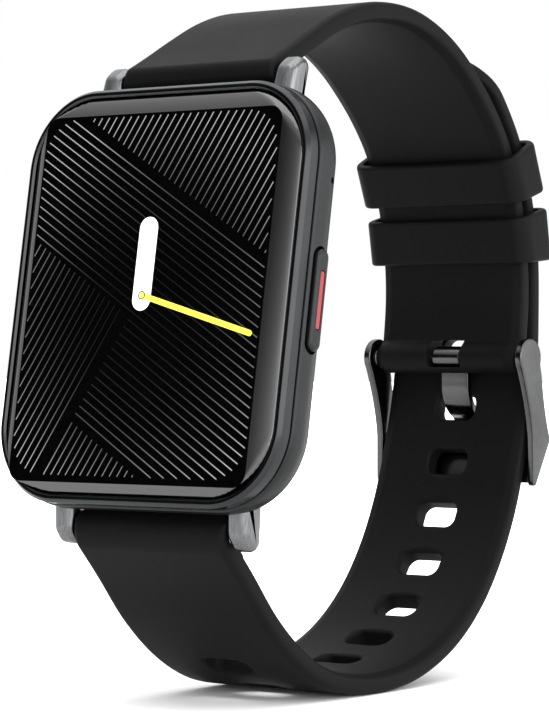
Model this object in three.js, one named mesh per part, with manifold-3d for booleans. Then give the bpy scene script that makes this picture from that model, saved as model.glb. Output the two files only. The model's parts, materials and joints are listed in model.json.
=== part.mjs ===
// Square smartwatch on a buckled 20 mm silicone band. Millimetres, +Z up (towards 12 o'clock),
// +Y away from the display, +X towards the side button. The origin is the middle of the wrist opening.
import * as THREE from "three";
import { mergeVertices } from "three/addons/utils/BufferGeometryUtils.js";
import Module from "manifold-3d";

const wasm = await Module();
wasm.setup();

// ---------------------------------------------------------------- driving dimensions

// Head: its own plane has x = X, y = up the face, z = out of the glass, with z = 0 on the glass.
const HEAD_TILT = THREE.MathUtils.degToRad(9.77); // the face leans back from upright
const HEAD_Y = -33; // middle of the glass
const HEAD_Z = 5.5;
const GLASS_W = 35.05;
const GLASS_H = 41.7;
const GLASS_R = 7.3;
const GLASS_T = 1.0;
const FIT = 0.15; // gap between pieces that sit in one another
const BEZEL_RIM = 1.05; // bezel's width around the glass
const CASE_RIM = 1.3; // case's widest outline outside the glass
const CASE_FRONT = -2.1;
const CASE_BACK = -6.7;
const CASE_WALL = 1.6;
const BACK_FACE = -8.0;
const DOME_TOP = -9.1;

// Lugs and spring bars
const LUG_INNER_X = 10.2;
const LUG_W = 2.6;
const BAR_V = 24.0; // spring bar's height up the face, and down it
const BAR_N = -5.7;
const BAR_R = 0.75;
const BAR_BORE_R = 0.45;
const BAR_HALF = 9.7;
const PIN_R = 0.38;
const PIN_HOLE_R = 0.6;
const KNUCKLE_R = 1.7;

// Band
const BAND_W = 20; // at the lugs
const BACK_TAPER = 0.97; // band's width at the buckle, as a share of its width at the lugs
const BAND_EDGE = 0.5; // rounding of the band's long edges
const STRAP_T = 2.25; // strap with the buckle
const TAIL_T = 2.35; // strap with the holes, at its lug
const TAIL_TIP_T = 1.8;
const STACK_PITCH = 2.35; // from the middle of one strap to the middle of the other, where they overlap
const ARC_Y = -11.1; // centre of the round stretch that the keepers slide on
const ARC_Z = 6.5;
const ARC_R = 34.9; // to the middle of the buckle strap
const HOLE_PITCH = 6.65;
const HOLE_COUNT = 14;
const ENGAGED_HOLE = 9; // which hole the tongue is in, counted from the lug
const ENGAGED_AT = 78.7; // how far along the band it is
const HOLE_W = 5.4;
const HOLE_L = 3.0;

// Keepers
const KEEPER_WALL = 1.0;
const KEEPER_GAP = 0.22;
const KEEPER_HALF_ANGLE = THREE.MathUtils.degToRad(4.5);
const KEEPER_ANGLES = { keeper_upper: 21.8, keeper_lower: 9.8 }; // degrees above the arc's centre

// Buckle
const PIVOT_Y = 22.8;
const PIVOT_Z = -1.3;
const BUCKLE_PIN_R = 0.72;
const WRAP_R = 1.85; // strap's loop around the buckle pin
const ARM_IN = 10.15;
const ARM_OUT = 11.05;
const TONGUE_W = 3.7;
const TONGUE_T = 0.95;

// Button
const BUTTON_V = -0.3;
const BUTTON_N = -3.7;
const BUTTON_L = 10.4;
const BUTTON_W = 1.8;
const BUTTON_FACE_X = 19.3;
const BUTTON_BACK_X = 18.15;
const RECESS_FLOOR_X = 17.7;
const STEM_R = 0.75;

// ---------------------------------------------------------------- materials

function finish(color, roughness, metalness) {
  return new THREE.MeshStandardMaterial({ color, roughness, metalness });
}

const GUNMETAL = finish(0x3a3c40, 0.42, 0.9);
const BEZEL_METAL = finish(0x24262a, 0.3, 0.9);
const LUG_METAL = finish(0x8d9096, 0.28, 1);
const BUCKLE_METAL = finish(0x5c5e63, 0.25, 1);
const STEEL = finish(0xb8bac0, 0.25, 1);
const GOLD = finish(0xc9a24a, 0.3, 1);
const BLACK_GLASS = finish(0x0a0b0d, 0.06, 0);
const SILICONE = finish(0x1a1b1d, 0.62, 0);
const DARK_PLASTIC = finish(0x141517, 0.5, 0);
const RED = finish(0xc22a36, 0.45, 0);
const BOARD_GREEN = finish(0x1d4a35, 0.55, 0);
const BATTERY_GREY = finish(0x8f9499, 0.45, 0.2);
const MAGNET_GREY = finish(0x777a80, 0.3, 0.9);
const LENS_DARK = finish(0x16191c, 0.12, 0);
const LED_GREEN = finish(0x3fae5a, 0.3, 0);
const SEAL_GREY = finish(0x3b3d40, 0.8, 0);

// ---------------------------------------------------------------- solids

function solidOf(geometry) {
  const plain = geometry.index ? geometry.toNonIndexed() : geometry.clone();
  plain.deleteAttribute("normal");
  plain.deleteAttribute("uv");
  const merged = mergeVertices(plain, 1e-4);
  return new wasm.Manifold(new wasm.Mesh({
    numProp: 3,
    vertProperties: new Float32Array(merged.attributes.position.array),
    triVerts: new Uint32Array(merged.index.array),
  }));
}

function geometryOf(solid) {
  const mesh = solid.getMesh();
  const geometry = new THREE.BufferGeometry();
  geometry.setAttribute("position", new THREE.BufferAttribute(mesh.vertProperties, 3));
  geometry.setIndex(new THREE.BufferAttribute(mesh.triVerts, 1));
  return geometry;
}

function join(geometries) {
  const solids = geometries.map(solidOf);
  return geometryOf(solids.reduce((all, next) => all.add(next)));
}

function cut(geometry, cutters) {
  const solids = cutters.map(solidOf);
  return geometryOf(solids.reduce((left, next) => left.subtract(next), solidOf(geometry)));
}

const group = new THREE.Group();
const head = new THREE.Group();
head.position.set(0, HEAD_Y, HEAD_Z);
head.rotation.x = Math.PI / 2 - HEAD_TILT;
group.add(head);

function place(parent, name, geometry, material) {
  const mesh = new THREE.Mesh(geometry, material);
  mesh.name = name;
  parent.add(mesh);
}

// ---------------------------------------------------------------- outlines

function roundedRect(width, height, radius) {
  const w = width / 2 - radius;
  const h = height / 2 - radius;
  const shape = new THREE.Shape();
  shape.absarc(w, h, radius, 0, Math.PI / 2);
  shape.absarc(-w, h, radius, Math.PI / 2, Math.PI);
  shape.absarc(-w, -h, radius, Math.PI, Math.PI * 1.5);
  shape.absarc(w, -h, radius, Math.PI * 1.5, Math.PI * 2);
  shape.closePath();
  return shape;
}

function glassOutline(offset) {
  return roundedRect(GLASS_W + 2 * offset, GLASS_H + 2 * offset, GLASS_R + offset);
}

// A plate in the head's own plane, from z = low to z = high, its edges rounded by `edge`.
function plate(shape, low, high, edge = 0, curveSegments = 6) {
  const geometry = new THREE.ExtrudeGeometry(shape, {
    depth: high - low - 2 * edge,
    bevelEnabled: edge > 0,
    bevelThickness: edge,
    bevelSize: edge,
    bevelOffset: -edge,
    bevelSegments: 1,
    curveSegments,
  });
  return geometry.translate(0, 0, low + edge);
}

function ring(outer, inner, low, high, edge = 0) {
  outer.holes.push(inner);
  return plate(outer, low, high, edge);
}

// A side profile drawn in (y, z), stretched along X from `low` to `high`.
const SIDEWAYS = new THREE.Matrix4().makeBasis(
  new THREE.Vector3(0, 1, 0),
  new THREE.Vector3(0, 0, 1),
  new THREE.Vector3(1, 0, 0),
);

function stretched(shape, low, high, edge = 0, curveSegments = 6) {
  return plate(shape, low, high, edge, curveSegments).applyMatrix4(SIDEWAYS);
}

function rod(radius, low, high, y, z, sides = 16) {
  const geometry = new THREE.CylinderGeometry(radius, radius, high - low, sides);
  return geometry.rotateZ(Math.PI / 2).translate((low + high) / 2, y, z);
}

// A round peg in the head's plane, standing along z.
function peg(radius, low, high, x = 0, y = 0, sides = 20) {
  const geometry = new THREE.CylinderGeometry(radius, radius, high - low, sides);
  return geometry.rotateX(Math.PI / 2).translate(x, y, (low + high) / 2);
}

function block(width, height, low, high, x = 0, y = 0) {
  return new THREE.BoxGeometry(width, height, high - low).translate(x, y, (low + high) / 2);
}

function polygon(points) {
  return new THREE.Shape(points.map(([a, b]) => new THREE.Vector2(a, b)));
}

function pill(length, width) {
  const radius = width / 2;
  const reach = length / 2 - radius;
  const shape = new THREE.Shape();
  shape.absarc(reach, 0, radius, -Math.PI / 2, Math.PI / 2);
  shape.absarc(-reach, 0, radius, Math.PI / 2, Math.PI * 1.5);
  shape.closePath();
  return shape;
}

// ---------------------------------------------------------------- case

const GASKET_OUT = -1.9; // back gasket's outline, from the glass's
const GASKET_IN = -2.4;
const GASKET_TOP = -6.4;

// The case bulges to its widest outline and rounds off towards the back.
const BULGE_FLAT = 0.4;
const BULGE_DEPTH = 3.3;
const BULGE_INSET = 2.8;

function caseOutside(grow) {
  const geometry = new THREE.ExtrudeGeometry(glassOutline(CASE_RIM + grow - BULGE_INSET), {
    depth: BULGE_FLAT,
    bevelThickness: BULGE_DEPTH,
    bevelSize: BULGE_INSET,
    bevelSegments: 4,
    curveSegments: 6,
  });
  return geometry.translate(0, 0, CASE_BACK + BULGE_DEPTH);
}

// A ledge around the open back carries the back cover, its gasket and the screw bosses.
const LEDGE_TOP = -5.8;
const BOSS_TOP = -5.3;
const BOSS_R = 2.0;
const SCREW_X = 12.6;
const SCREW_V = 15.8;
const SHANK_R = 0.5;
const CORNERS = [["top_left", -1, 1], ["top_right", 1, 1], ["bottom_left", -1, -1], ["bottom_right", 1, -1]];

function caseFrame() {
  const inside = CASE_RIM - CASE_WALL - 0.9;
  const buttonRecess = stretched(pill(BUTTON_L + 0.6, BUTTON_W + 0.6), RECESS_FLOOR_X, 21);
  const shell = cut(caseOutside(0), [
    block(60, 60, CASE_FRONT, 2), // open front
    plate(glassOutline(inside), LEDGE_TOP, CASE_FRONT + 1),
    plate(glassOutline(inside - 1.8), CASE_BACK - 1, LEDGE_TOP + 1), // open back, inside the ledge
    buttonRecess.translate(0, BUTTON_V, BUTTON_N),
    rod(STEM_R + FIT, 14, 19, BUTTON_V, BUTTON_N),
    rod(0.35, 14, 20, 12.1, -4.6, 10), // microphone hole
  ]);
  const bosses = CORNERS.map(([, side, end]) => peg(BOSS_R, CASE_BACK, BOSS_TOP, side * SCREW_X, end * SCREW_V));
  const groove = ring(glassOutline(GASKET_OUT + 0.1), glassOutline(GASKET_IN - 0.1), CASE_BACK - 1, GASKET_TOP + 0.05);
  const threads = CORNERS.map(([, side, end]) => (
    peg(SHANK_R + 0.1, CASE_BACK - 1, BOSS_TOP - 0.3, side * SCREW_X, end * SCREW_V, 10)
  ));
  return cut(join([shell, ...bosses]), [groove, ...threads]);
}

function frontBezel() {
  const outer = glassOutline(BEZEL_RIM);
  return ring(outer, glassOutline(FIT), CASE_FRONT + 0.1, -0.25, 0.35);
}

function lug(side, end) {
  const profile = polygon([[20, -3.0], [24.4, -3.9], [25.5, -5.1], [25.6, -6.3], [24.8, -7.0], [22.5, -7.0], [20, -6.4]]);
  const barrel = stretched(profile, LUG_INNER_X, LUG_INNER_X + LUG_W, 0.5);
  const pinHole = rod(PIN_HOLE_R, LUG_INNER_X - 1, LUG_INNER_X + 1.8, BAR_V, BAR_N, 12);
  const geometry = cut(barrel, [caseOutside(0.05), pinHole]);
  return mirrored(geometry, side, end);
}

function mirrored(geometry, side, end) {
  geometry.scale(side, end, 1);
  if (side * end < 0) {
    flipFaces(geometry);
  }
  return geometry;
}

function flipFaces(geometry) {
  const index = geometry.index.array;
  for (let i = 0; i < index.length; i += 3) {
    const first = index[i];
    index[i] = index[i + 1];
    index[i + 1] = first;
  }
}

place(head, "cover_glass", plate(glassOutline(0), -GLASS_T, 0, 0.35), BLACK_GLASS);
place(head, "glass_gasket", ring(glassOutline(-0.2), glassOutline(-1.3), -1.35, -1.1), SEAL_GREY);
place(head, "display_panel", plate(glassOutline(-1.5), -2.25, -1.15), DARK_PLASTIC);
place(head, "front_bezel", frontBezel(), BEZEL_METAL);
place(head, "case_frame", caseFrame(), GUNMETAL);
for (const [corner, side, end] of CORNERS) {
  place(head, `lug_${corner}`, lug(side, end), LUG_METAL);
}

// ---------------------------------------------------------------- back of the case

const WINDOW_R = 9.6;
const CONTACT_X = 3.2;
const CONTACT_V = -14.2;
const CONTACT_R = 1.3;
const SCREW_R = 0.95;
const SCREW_HEAD = 0.7;
const BACK_INSIDE = CASE_BACK - 0.15;

function backCover() {
  const cutters = [peg(WINDOW_R + FIT, BACK_FACE - 1, BACK_INSIDE + 1, 0, 0, 36)];
  for (const side of [-1, 1]) {
    cutters.push(peg(CONTACT_R + 0.1, BACK_FACE - 1, BACK_INSIDE + 1, side * CONTACT_X, CONTACT_V, 16));
  }
  for (const [, side, end] of CORNERS) {
    const headSeat = BACK_FACE + 0.15 + SCREW_HEAD + 0.05;
    cutters.push(peg(SCREW_R + 0.1, BACK_FACE - 1, headSeat, side * SCREW_X, end * SCREW_V, 16));
    cutters.push(peg(SHANK_R + 0.1, BACK_FACE - 1, BACK_INSIDE + 1, side * SCREW_X, end * SCREW_V, 10));
  }
  return cut(plate(glassOutline(-1.3), BACK_FACE, BACK_INSIDE, 0.4), cutters);
}

function sensorWindow() {
  const rim = BACK_FACE + 0.5;
  const inside = BACK_INSIDE + 0.1;
  const profile = [new THREE.Vector2(0, inside), new THREE.Vector2(WINDOW_R, inside)];
  const steps = 6;
  for (let i = 0; i <= steps; i += 1) {
    const angle = (i / steps) * (Math.PI / 2);
    profile.push(new THREE.Vector2(WINDOW_R * Math.cos(angle), rim - (rim - DOME_TOP) * Math.sin(angle)));
  }
  profile[profile.length - 1].x = 0;
  return new THREE.LatheGeometry(profile.reverse(), 36).rotateX(Math.PI / 2);
}

function crossScrew(x, y) {
  const top = BACK_FACE + 0.15;
  const screw = join([
    peg(SCREW_R, top, top + SCREW_HEAD, x, y, 16),
    peg(SHANK_R, top + 0.1, BOSS_TOP - 0.4, x, y, 10),
  ]);
  return cut(screw, [
    block(1.2, 0.28, BACK_FACE - 1, BACK_FACE + 0.5, x, y),
    block(0.28, 1.2, BACK_FACE - 1, BACK_FACE + 0.5, x, y),
  ]);
}

place(head, "back_cover", backCover(), DARK_PLASTIC);
const backGasket = ring(glassOutline(GASKET_OUT), glassOutline(GASKET_IN), BACK_INSIDE + 0.05, GASKET_TOP);
place(head, "back_gasket", backGasket, SEAL_GREY);
place(head, "sensor_window", sensorWindow(), LENS_DARK);
for (const [name, side] of [["left", -1], ["right", 1]]) {
  const contact = peg(CONTACT_R, BACK_FACE + 0.1, CASE_BACK + 0.35, side * CONTACT_X, CONTACT_V, 16);
  place(head, `charging_contact_${name}`, contact, GOLD);
  place(head, `charging_magnet_${name}`, peg(2.2, -6.7, -5.5, side * 8.2, CONTACT_V, 16), MAGNET_GREY);
}
for (const [corner, side, end] of CORNERS) {
  place(head, `back_screw_${corner}`, crossScrew(side * SCREW_X, end * SCREW_V), STEEL);
}

// ---------------------------------------------------------------- inside the case

place(head, "main_board", plate(roundedRect(27, 35, 3), -3.9, -3.1), BOARD_GREEN);
place(head, "battery", plate(roundedRect(21, 23, 1.2), -5.5, -4.1, 0.3), BATTERY_GREY);
place(head, "sensor_board", plate(roundedRect(13, 13, 6.4), -6.1, -5.6), BOARD_GREEN);
place(head, "sensor_led", block(2.6, 2.0, -6.65, -6.2), LED_GREEN);
place(head, "photodiode_top", block(2.2, 2.8, -6.65, -6.2, 0, 3.8), LENS_DARK);
place(head, "photodiode_bottom", block(2.2, 2.8, -6.65, -6.2, 0, -3.8), LENS_DARK);
place(head, "vibration_motor", peg(2.6, -5.2, -4.1, -9.2, 15.4), STEEL);
place(head, "speaker", plate(roundedRect(11, 6.4, 1.5), -5.2, -4.1).translate(4.5, 15.2, 0), DARK_PLASTIC);

// ---------------------------------------------------------------- button and microphone

function buttonCap() {
  const body = stretched(pill(BUTTON_L, BUTTON_W), BUTTON_BACK_X, BUTTON_FACE_X, 0.3);
  const groove = stretched(pill(6.1, 0.75), BUTTON_FACE_X - 0.4, BUTTON_FACE_X + 1);
  return cut(join([body, rod(STEM_R, 15.6, BUTTON_BACK_X + 0.3, 0, 0)]), [groove]);
}

function buttonPiece(name, geometry, material) {
  place(head, name, geometry.translate(0, BUTTON_V, BUTTON_N), material);
}

function stemSeal() {
  const seal = new THREE.Shape().absarc(0, 0, 1.2, 0, Math.PI * 2);
  seal.holes.push(new THREE.Path().absarc(0, 0, STEM_R + 0.08, 0, Math.PI * 2, true));
  return stretched(seal, 15.75, 16.25);
}

buttonPiece("button_cap", buttonCap(), GUNMETAL);
const inlayBottom = BUTTON_FACE_X - 0.35;
buttonPiece("button_inlay", stretched(pill(5.9, 0.6), inlayBottom, BUTTON_FACE_X + 0.02), RED);
buttonPiece("button_seal", stemSeal(), SEAL_GREY);
buttonPiece("button_switch", new THREE.BoxGeometry(1.2, 3.4, 1.6).translate(14.6, 0, 0), STEEL);
place(head, "microphone", new THREE.BoxGeometry(1.2, 3.4, 1.6).translate(15.4, 12.1, -4.8), STEEL);

// ---------------------------------------------------------------- band

function pathOf(points) {
  return new THREE.SplineCurve(points.map(([y, z]) => new THREE.Vector2(y, z)));
}

function arcPoint(degrees, radius) {
  const angle = THREE.MathUtils.degToRad(degrees);
  return [ARC_Y + radius * Math.cos(angle), ARC_Z + radius * Math.sin(angle)];
}

function outwardNormal(path, share) {
  const along = path.getTangentAt(share);
  return new THREE.Vector2(-along.y, along.x).multiplyScalar(path.outward);
}

function offsetPoint(path, share, distance) {
  return path.getPointAt(share).addScaledVector(outwardNormal(path, share), distance);
}

// Middle line of the buckle strap: up from the top lugs, over and down the back to the buckle pin.
const strapPath = pathOf([
  [-24.6, 28.3], [-21.0, 30.1], [-17.0, 32.2], [-12.8, 34.2], [-8.3, 35.6], [-3.7, 36.15],
  [1.1, 35.9], [5.8, 34.6], [10.1, 32.4], [13.85, 29.5], [17.2, 26.2],
  ...[27.5, 20, 12.5, 5, -2, -9].map((degrees) => arcPoint(degrees, ARC_R)),
  [PIVOT_Y + 0.2, PIVOT_Z],
]);
strapPath.outward = 1;
strapPath.arcLengthDivisions = 400;

const TIP_SHARES = [0.615, 0.56, 0.505]; // where the tail's last points lie over the buckle strap

// Middle line of the tail strap: down from the bottom lugs, under and up the back, outside the other strap.
const tailPath = pathOf([
  [-32.2, -19.8], [-28.7, -23.6], [-24.4, -28.5], [-19.49, -32.5], [-14.21, -35.1], [-8.34, -36.2],
  [-2.47, -36.2], [3.39, -35.1], [9.26, -32.6], [14.34, -28.7], [18.35, -23.7], [21.28, -18.2],
  [23.35, -12.3], [24.85, -6.8], [25.8, -1.6],
  ...[-4, 5, 12.5, 20, 27].map((degrees) => arcPoint(degrees, ARC_R + STACK_PITCH)),
  ...TIP_SHARES.map((share) => offsetPoint(strapPath, share, STACK_PITCH).toArray()),
]);
tailPath.outward = -1;
tailPath.arcLengthDivisions = 400;

// A strap of even width along its middle line, thinning from `start` to `end`.
function strapBlank(path, start, end, steps) {
  const outside = [];
  const inside = [];
  for (let i = 0; i <= steps; i += 1) {
    const share = i / steps;
    const half = THREE.MathUtils.lerp(start, end, share) / 2;
    outside.push(offsetPoint(path, share, half));
    inside.push(offsetPoint(path, share, -half));
  }
  const outline = new THREE.Shape([...outside, ...inside.reverse()]);
  return stretched(outline, -BAND_W / 2, BAND_W / 2, BAND_EDGE);
}

// The thick end around a spring bar, with the flat that faces forward between the lugs.
function knuckle(end, strapStart) {
  const bar = barCentre(end);
  const wedge = new THREE.Shape([strapStart, bar, headPoint(end * (BAR_V - 0.8), BAR_N + 1.5)]);
  return [
    rod(KNUCKLE_R, -BAND_W / 2, BAND_W / 2, bar.x, bar.y, 24),
    stretched(wedge, -BAND_W / 2 + BAND_EDGE, BAND_W / 2 - BAND_EDGE),
  ];
}

// The point (Y, Z) at height v up the face and n out of the glass.
function headPoint(v, n) {
  const sin = Math.sin(HEAD_TILT);
  const cos = Math.cos(HEAD_TILT);
  return new THREE.Vector2(v * sin - n * cos + HEAD_Y, v * cos + n * sin + HEAD_Z);
}

function barCentre(end) {
  return headPoint(end * BAR_V, BAR_N);
}

// The band narrows evenly from the lugs to the buckle.
function taper(geometry) {
  const position = geometry.attributes.position;
  const front = barCentre(1).x;
  for (let i = 0; i < position.count; i += 1) {
    const share = THREE.MathUtils.clamp((position.getY(i) - front) / (PIVOT_Y - front), 0, 1);
    position.setX(i, position.getX(i) * THREE.MathUtils.lerp(1, BACK_TAPER, share));
  }
  return geometry;
}

// Places a cutter drawn with x across the band, y along it and z out of it.
function onPath(geometry, path, share) {
  const centre = path.getPointAt(share);
  const along = path.getTangentAt(share);
  const out = outwardNormal(path, share);
  const matrix = new THREE.Matrix4().makeBasis(
    new THREE.Vector3(path.outward, 0, 0),
    new THREE.Vector3(0, along.x, along.y),
    new THREE.Vector3(0, out.x, out.y),
  );
  matrix.setPosition(0, centre.x, centre.y);
  return geometry.applyMatrix4(matrix);
}

// Room for the release knob on the spring bar, open on the band's inner side.
const KNOB_X = 6.2;
const KNOB_SLOT_W = 3.4;

function knobSlot(end) {
  const away = headPoint(end * (BAR_V - 0.3), BAR_N - 6);
  const bar = barCentre(end);
  const middle = bar.clone().add(away).multiplyScalar(0.5);
  const slot = new THREE.BoxGeometry(KNOB_SLOT_W, bar.distanceTo(away), 1.6);
  const angle = Math.atan2(away.y - bar.y, away.x - bar.x);
  return slot.rotateX(angle).translate(KNOB_X - 0.4, middle.x, middle.y);
}

function buckleStrap() {
  const bar = barCentre(1);
  const start = offsetPoint(strapPath, 0, STRAP_T / 2);
  const body = join([
    strapBlank(strapPath, STRAP_T, STRAP_T - 0.1, 44),
    ...knuckle(1, start),
    rod(WRAP_R, -BAND_W / 2, BAND_W / 2, PIVOT_Y, PIVOT_Z, 24),
  ]);
  const tongueSlot = new THREE.BoxGeometry(TONGUE_W + 0.9, 6, 4.2).translate(0, PIVOT_Y, PIVOT_Z);
  return taper(cut(body, [
    rod(BAR_R + 0.1, -11, 11, bar.x, bar.y),
    rod(BUCKLE_PIN_R + 0.1, -11, 11, PIVOT_Y, PIVOT_Z),
    knobSlot(1),
    tongueSlot,
  ]));
}

// Rounds the tip: everything beyond a half ellipse across the band's end is cut away.
const TIP_LENGTH = 8;

function tipCutter() {
  const half = (BAND_W * BACK_TAPER) / 2 + 0.9;
  const shape = polygon([[half + 1, 0], [half + 1, TIP_LENGTH + 3], [-half - 1, TIP_LENGTH + 3], [-half - 1, 0]]);
  shape.absellipse(0, 0, half, TIP_LENGTH, Math.PI, 0, true);
  return plate(shape, -6, 6, 0, 12);
}

function tailStrap() {
  const length = tailPath.getLength();
  const bar = barCentre(-1);
  const start = offsetPoint(tailPath, 0, TAIL_T / 2);
  const body = join([strapBlank(tailPath, TAIL_T, TAIL_TIP_T, 60), ...knuckle(-1, start)]);
  const cutters = [
    rod(BAR_R + 0.1, -11, 11, bar.x, bar.y),
    knobSlot(-1),
    onPath(tipCutter(), tailPath, 1 - TIP_LENGTH / length),
  ];
  for (let i = 0; i < HOLE_COUNT; i += 1) {
    const hole = plate(roundedRect(HOLE_W, HOLE_L, 1.1), -3, 3, 0, 3);
    cutters.push(onPath(hole, tailPath, (ENGAGED_AT + (i - ENGAGED_HOLE) * HOLE_PITCH) / length));
  }
  return taper(cut(body, cutters));
}

place(group, "strap_buckle_half", buckleStrap(), SILICONE);
place(group, "strap_tail_half", tailStrap(), SILICONE);

// ---------------------------------------------------------------- keepers

function keeper(degrees) {
  const middle = THREE.MathUtils.degToRad(degrees);
  const innerLow = ARC_R - STRAP_T / 2 - KEEPER_GAP;
  const innerHigh = ARC_R + STACK_PITCH + TAIL_T / 2 - 0.2 + KEEPER_GAP;
  const half = (BAND_W * BACK_TAPER) / 2 + 0.35 + KEEPER_GAP;
  const outside = roundedRect(2 * (half + KEEPER_WALL), innerHigh - innerLow + 2 * KEEPER_WALL, 1.6);
  outside.holes.push(roundedRect(2 * half, innerHigh - innerLow, 0.7));
  const path = new THREE.CatmullRomCurve3([-1, 0, 1].map((share) => {
    const angle = middle + share * KEEPER_HALF_ANGLE;
    const radius = (innerLow + innerHigh) / 2;
    return new THREE.Vector3(0, ARC_Y + radius * Math.cos(angle), ARC_Z + radius * Math.sin(angle));
  }));
  return new THREE.ExtrudeGeometry(outside, { steps: 3, extrudePath: path, curveSegments: 4 });
}

for (const [name, degrees] of Object.entries(KEEPER_ANGLES)) {
  place(group, name, keeper(degrees), SILICONE);
}

// ---------------------------------------------------------------- buckle

// One arm's side: a round head on the pin, narrowing down to the cross bar.
function armOutline() {
  const shape = new THREE.Shape();
  shape.absarc(PIVOT_Y, PIVOT_Z, 2.2, THREE.MathUtils.degToRad(-20), THREE.MathUtils.degToRad(215));
  shape.quadraticCurveTo(22.9, -7.0, 23.3, -10.6);
  shape.lineTo(23.3, -15.9);
  shape.lineTo(23.9, -16.1);
  shape.lineTo(27, -10.9);
  shape.quadraticCurveTo(25.9, -8.2, 25.2, -3.4);
  return shape;
}

function buckleFrame() {
  const bar = polygon([[25.15, -11.0], [26.4, -10.1], [27, -10.9], [23.9, -16.1], [23.75, -15.2]]);
  const seat = polygon([[26.4, -9.5], [28.5, -9.5], [28.5, -12.3], [25.95, -12.3]]);
  const notch = stretched(seat, -TONGUE_W / 2 - 0.35, TONGUE_W / 2 + 0.35);
  const pieces = [stretched(bar, -ARM_OUT + 0.4, ARM_OUT - 0.4)];
  for (const side of [-1, 1]) {
    const low = side < 0 ? -ARM_OUT : ARM_IN;
    pieces.push(stretched(armOutline(), low, low + ARM_OUT - ARM_IN, 0.15, 6));
    const boss = side < 0 ? -ARM_IN - 0.2 : ARM_IN - 0.25;
    pieces.push(rod(1.2, boss, boss + 0.45, PIVOT_Y, PIVOT_Z));
  }
  return cut(join(pieces), [rod(BUCKLE_PIN_R + 0.08, -12, 12, PIVOT_Y, PIVOT_Z), notch]);
}

// The tongue: an eye around the pin and a strip that dips through the engaged hole to the cross bar.
function tongue() {
  const strip = pathOf([
    [23.3, -2.5], [22.95, -4.6], [23.4, -6.7], [24.8, -7.75], [26.3, -8.2], [27.15, -9.6], [26.7, -11.7],
  ]);
  strip.outward = 1;
  const outside = [];
  const inside = [];
  const steps = 18;
  for (let i = 0; i <= steps; i += 1) {
    outside.push(offsetPoint(strip, i / steps, TONGUE_T / 2));
    inside.push(offsetPoint(strip, i / steps, -TONGUE_T / 2));
  }
  const blade = stretched(new THREE.Shape([...outside, ...inside.reverse()]), -TONGUE_W / 2, TONGUE_W / 2);
  const eye = rod(1.35, -TONGUE_W / 2, TONGUE_W / 2, PIVOT_Y, PIVOT_Z, 24);
  return cut(join([eye, blade]), [rod(BUCKLE_PIN_R + 0.08, -4, 4, PIVOT_Y, PIVOT_Z)]);
}

place(group, "buckle_frame", buckleFrame(), BUCKLE_METAL);
place(group, "buckle_tongue", tongue(), BUCKLE_METAL);
place(group, "buckle_pin", rod(BUCKLE_PIN_R, -ARM_OUT + 0.1, ARM_OUT - 0.1, PIVOT_Y, PIVOT_Z), STEEL);

// ---------------------------------------------------------------- quick-release spring bars

// The bar is a tube, closed by its fixed pin at -X and open at +X for the sliding release pin.
function springBar(y, z, reach) {
  const tube = rod(BAR_R, -BAR_HALF, BAR_HALF, y, z);
  const fixedPin = rod(PIN_R, -reach, -BAR_HALF + 0.1, y, z, 12);
  const bore = rod(BAR_BORE_R, 1.0, BAR_HALF + 1, y, z, 12);
  return { body: join([tube, fixedPin]), bore };
}

const SPRING_R = 0.28; // to the middle of the wire
const SPRING_WIRE = 0.12;
const SPRING_LOW_X = 1.2;
const SPRING_TURNS = 7;

class Helix extends THREE.Curve {
  constructor(low, high, y, z) {
    super();
    Object.assign(this, { low, high, y, z });
  }

  getPoint(share, target = new THREE.Vector3()) {
    const angle = share * SPRING_TURNS * 2 * Math.PI;
    const x = THREE.MathUtils.lerp(this.low, this.high, share);
    return target.set(x, this.y + SPRING_R * Math.cos(angle), this.z + SPRING_R * Math.sin(angle));
  }
}

function coil(low, high, y, z) {
  const half = SPRING_WIRE / 2;
  const wire = polygon([[-half, -half], [half, -half], [half, half], [-half, half]]);
  const path = new Helix(low + half, high - half, y, z);
  return new THREE.ExtrudeGeometry(wire, { steps: SPRING_TURNS * 8, extrudePath: path });
}

function barPieces(end, name, reach) {
  const centre = barCentre(end);
  const away = headPoint(end * (BAR_V - 0.3), BAR_N - 2.6);
  const angle = Math.atan2(away.y - centre.y, away.x - centre.x);
  const slot = new THREE.BoxGeometry(2.6, 3, 0.8).translate(KNOB_X - 0.5, 1.5, 0);
  const knob = new THREE.CylinderGeometry(0.32, 0.32, 2.2, 12).translate(KNOB_X, 1.2, 0);
  slot.rotateX(angle).translate(0, centre.x, centre.y);
  knob.rotateX(angle).translate(0, centre.x, centre.y);
  const { body, bore } = springBar(centre.x, centre.y, reach);
  place(group, `spring_bar_${name}`, cut(body, [bore, slot]), STEEL);
  const pin = join([rod(PIN_R, KNOB_X - 0.6, reach, centre.x, centre.y, 12), knob]);
  place(group, `release_pin_${name}`, pin, STEEL);
  place(group, `release_spring_${name}`, coil(SPRING_LOW_X, KNOB_X - 0.75, centre.x, centre.y), STEEL);
}

const PIN_IN_LUG = 11.5; // the top bar's pins reach into their lugs
const PIN_SHORT = 9.9; // the bottom bar's pins are drawn in, so that the band can swing
barPieces(1, "top", PIN_IN_LUG);
barPieces(-1, "bottom", PIN_SHORT);

export default group;
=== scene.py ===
"""Looks of a square smartwatch on a buckled silicone band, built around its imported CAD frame.

Pieces of the head are drawn in the head's own plane: x to the button side, v up the face and n out of
the glass, with the origin in the middle of the glass. Everything else is drawn in the row frame. All
lengths in this script are millimetres, and turn into metres when a mesh is made.
"""

import bisect
import json
import math

import bmesh
import bpy
from mathutils import Matrix, Vector


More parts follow.
